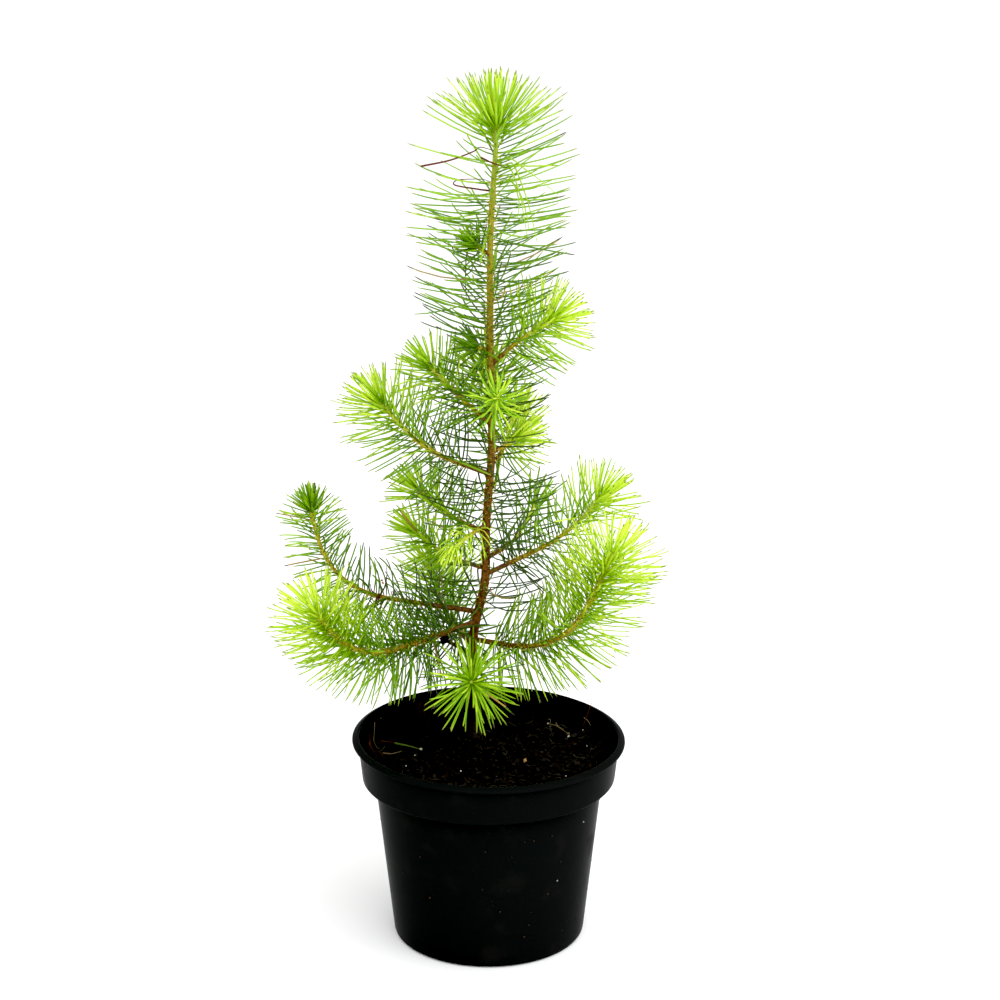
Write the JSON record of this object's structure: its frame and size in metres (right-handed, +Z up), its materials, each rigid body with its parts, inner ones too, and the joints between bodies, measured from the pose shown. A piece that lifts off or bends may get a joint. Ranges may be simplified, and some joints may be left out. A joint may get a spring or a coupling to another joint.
{
  "type": "potted young pine tree",
  "caption": "Young stone pine with a straight stem, upswept boughs and soft needle masses, standing in a round black nursery pot filled with soil.",
  "frame": {"origin": "the middle of the pot's flat underside", "axes": "+Z up along the plant, +X to the plant's right as seen from its front, -Y towards its front"},
  "size_m": [0.1922, 0.1644, 0.4098],
  "materials": {
    "pot_plastic": "black moulded plastic with a satin sheen",
    "soil": "dark moist peat with fibres and bits of bark",
    "bark": "young scaly bark, red-brown at the foot and yellow-green towards the tips",
    "dead_wood": "dry dark twig",
    "needles_fresh": "soft waxy needles, fresh yellow-green",
    "needles_grown": "soft waxy needles, full green"
  },
  "bodies": {
    "root": {"pot": "pot_plastic", "soil": "soil", "trunk": "bark", "dead_stub": "dead_wood", "bough_right_upper": "bark", "bough_front_upper": "bark", "bough_left_upper": "bark", "bough_back_upper": "bark", "bough_right_back_upper": "bark", "bough_back_middle": "bark", "bough_left_middle": "bark", "bough_front_left": "bark", "bough_back_left_upper": "bark", "bough_back_right": "bark", "bough_back_left_lower": "bark", "bough_right_middle": "bark", "bough_left_long": "bark", "bough_left_low": "bark", "bough_right_low": "bark", "bough_back_left_low": "bark", "bough_front_low": "bark", "needles_left_bud": "needles_fresh", "needles_left_fan": "needles_fresh", "needles_right_upper": "needles_fresh", "needles_front_upper": "needles_fresh", "needles_left_upper": "needles_fresh", "needles_back_upper": "needles_fresh", "needles_right_back_upper": "needles_fresh", "needles_back_middle": "needles_fresh", "needles_left_middle_inner": "needles_grown", "needles_left_middle_outer": "needles_fresh", "needles_front_left": "needles_fresh", "needles_back_left_upper": "needles_fresh", "needles_back_right_inner": "needles_grown", "needles_back_right_outer": "needles_fresh", "needles_back_left_lower": "needles_fresh", "needles_right_middle_inner": "needles_grown", "needles_right_middle_outer": "needles_fresh", "needles_left_long_inner": "needles_grown", "needles_left_long_outer": "needles_fresh", "needles_left_low_inner": "needles_grown", "needles_left_low_outer": "needles_fresh", "needles_right_low_inner": "needles_grown", "needles_right_low_outer": "needles_fresh", "needles_back_left_low_inner": "needles_grown", "needles_back_left_low_outer": "needles_fresh", "needles_front_low": "needles_fresh", "needles_trunk_1": "needles_grown", "needles_trunk_2": "needles_grown", "needles_trunk_3": "needles_grown", "needles_trunk_4": "needles_grown", "needles_trunk_5": "needles_grown", "needles_leader": "needles_fresh"}
  },
  "joints": []
}
